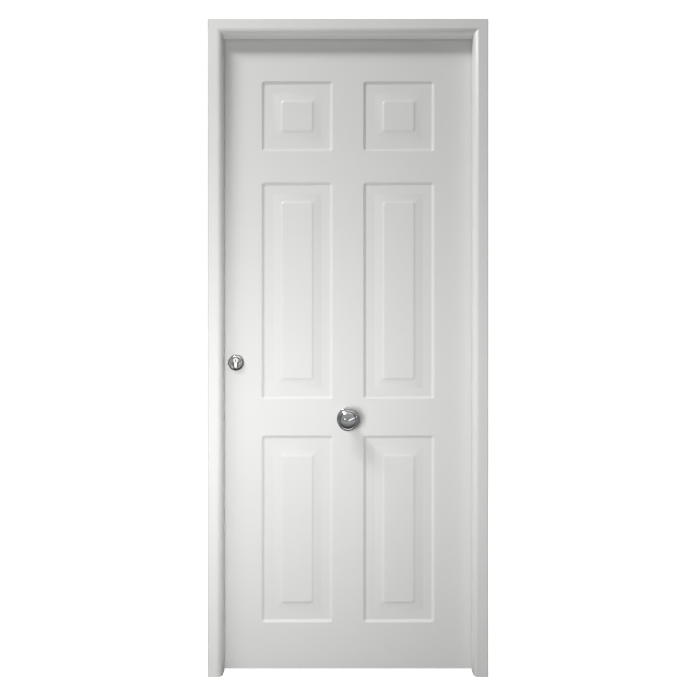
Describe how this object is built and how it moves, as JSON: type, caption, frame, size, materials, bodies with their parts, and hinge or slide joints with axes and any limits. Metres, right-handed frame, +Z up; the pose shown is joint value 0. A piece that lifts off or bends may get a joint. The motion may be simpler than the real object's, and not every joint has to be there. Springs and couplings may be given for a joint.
{
  "type": "panelled front door",
  "caption": "Armoured front door with moulded panels in a rebated frame, with a fixed pull knob, cylinder lock, latch, dead bolts and butt hinges.",
  "frame": {"origin": "on the floor at the middle of the frame's outer face", "axes": "+X to the right seen from outside, +Y into the building, +Z up"},
  "size_m": [0.89, 0.18, 2.088],
  "materials": {
    "frame_lacquer": "satin",
    "leaf_lacquer": "satin",
    "core_timber": "matte",
    "core_wool": "matte",
    "armour_steel": "satin",
    "lock_steel": "satin",
    "hinge_steel": "satin",
    "screw_steel": "satin",
    "carrier_aluminium": "satin",
    "seal_rubber": "matte",
    "cylinder_nickel": "satin",
    "handle_chrome": "polished"
  },
  "bodies": {
    "frame": {"jamb_lock_side": "frame_lacquer", "jamb_hinge_side": "frame_lacquer", "frame_head": "frame_lacquer", "frame_corner_screws": "screw_steel", "seal_lock_side": "seal_rubber", "seal_hinge_side": "seal_rubber", "seal_head": "seal_rubber", "strike_plate": "lock_steel", "strike_screws": "screw_steel", "dog_bolt_cups": "lock_steel", "hinge_frame_plate_1": "hinge_steel", "hinge_frame_plate_2": "hinge_steel", "hinge_frame_plate_3": "hinge_steel", "hinge_pin_1": "hinge_steel", "hinge_pin_2": "hinge_steel", "hinge_pin_3": "hinge_steel", "hinge_frame_screws": "screw_steel"},
    "leaf": {"outer_facing": "leaf_lacquer", "inner_facing": "leaf_lacquer", "armour_sheet_outer": "armour_steel", "armour_sheet_inner": "armour_steel", "stile_lock_side": "core_timber", "stile_hinge_side": "core_timber", "core_rail_top": "core_timber", "core_rail_bottom": "core_timber", "core_slab": "core_wool", "hinge_leaf_plate_1": "hinge_steel", "hinge_leaf_plate_2": "hinge_steel", "hinge_leaf_plate_3": "hinge_steel", "hinge_leaf_screws": "screw_steel", "dog_bolts": "lock_steel", "bottom_seal_carrier": "carrier_aluminium", "bottom_seal_blade": "seal_rubber", "lock_case": "lock_steel", "lock_faceplate": "lock_steel", "faceplate_screws": "screw_steel", "cylinder_body": "cylinder_nickel", "cylinder_screw": "screw_steel", "escutcheon_outer": "handle_chrome", "escutcheon_inner": "handle_chrome", "escutcheon_bolts": "screw_steel", "pull_knob": "handle_chrome", "pull_knob_rose": "handle_chrome", "pull_knob_stud": "screw_steel", "pull_knob_cap_nut": "handle_chrome", "turn_knob_rose": "handle_chrome"},
    "latch": {"latch_bolt": "lock_steel"},
    "bolts": {"dead_bolts": "lock_steel"},
    "inside_knob": {"turn_knob": "handle_chrome", "turn_knob_spindle": "lock_steel", "latch_follower": "lock_steel"},
    "thumb_turn": {"cylinder_plug": "cylinder_nickel", "cylinder_cam": "lock_steel", "thumb_turn": "handle_chrome"}
  },
  "joints": [
    {"name": "leaf_swing", "type": "hinge", "parent": "frame", "child": "leaf", "pos_m": [0.414, 0.112, 1.03], "axis": [0, 0, -1], "range_deg": [0, 170]},
    {"name": "knob_turn", "type": "hinge", "parent": "leaf", "child": "inside_knob", "pos_m": [-0.3625, 0.14, 1.089], "axis": [0, 1, 0], "range_deg": [0, 60]},
    {"name": "latch_slide", "type": "slide", "parent": "leaf", "child": "latch", "axis": [-1, 0, 0], "range_m": [0, 0.012]},
    {"name": "cylinder_turn", "type": "hinge", "parent": "leaf", "child": "thumb_turn", "pos_m": [-0.3625, 0.1, 1.004], "axis": [0, 1, 0], "range_deg": [0, 360]},
    {"name": "bolts_slide", "type": "slide", "parent": "leaf", "child": "bolts", "axis": [-1, 0, 0], "range_m": [0, 0.02]}
  ],
  "couplings": [
    {"joint": "knob_turn", "follows": "latch_slide", "rad_per_m": 87.266},
    {"joint": "cylinder_turn", "follows": "bolts_slide", "rad_per_m": 314.16}
  ]
}
